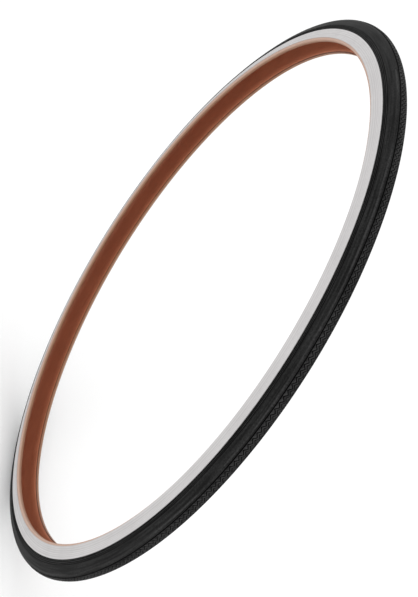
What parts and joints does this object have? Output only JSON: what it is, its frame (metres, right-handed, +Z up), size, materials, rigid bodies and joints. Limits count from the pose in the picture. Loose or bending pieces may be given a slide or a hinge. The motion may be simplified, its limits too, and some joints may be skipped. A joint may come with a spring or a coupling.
{
  "type": "bicycle tyre",
  "caption": "wired-on clincher bicycle tyre with black grooved tread, white sidewalls and brown cord casing, off its rim; holds a tube and seats on a rim",
  "frame": {"origin": "the wheel's centre, on the axle line midway between the two beads", "axes": "+Y is the axle line, +Z up and +X forward; the tyre is round about Y and the same on both sides"},
  "size_m": [0.691, 0.0308, 0.691],
  "materials": {
    "tread_rubber": "matt moulded black rubber, carbon-filled",
    "white_rubber": "smooth moulded white rubber",
    "casing_cord": "rubberised bias cord, brown rubber skim",
    "breaker_cord": "rubberised cord strip",
    "bead_tape": "woven cotton-type tape, tan",
    "bead_compound": "hard black insulation rubber",
    "bead_steel": "bronze-coated drawn spring steel wire"
  },
  "bodies": {
    "root": {"tread_cap": "tread_rubber", "breaker_strip": "breaker_cord", "casing_ply_outer": "casing_cord", "casing_ply_inner": "casing_cord", "sidewall_left": "white_rubber", "sidewall_right": "white_rubber", "chafer_left": "bead_tape", "chafer_right": "bead_tape", "bead_rubber_left": "bead_compound", "bead_rubber_right": "bead_compound", "bead_wire_left": "bead_steel", "bead_wire_right": "bead_steel"}
  },
  "joints": []
}
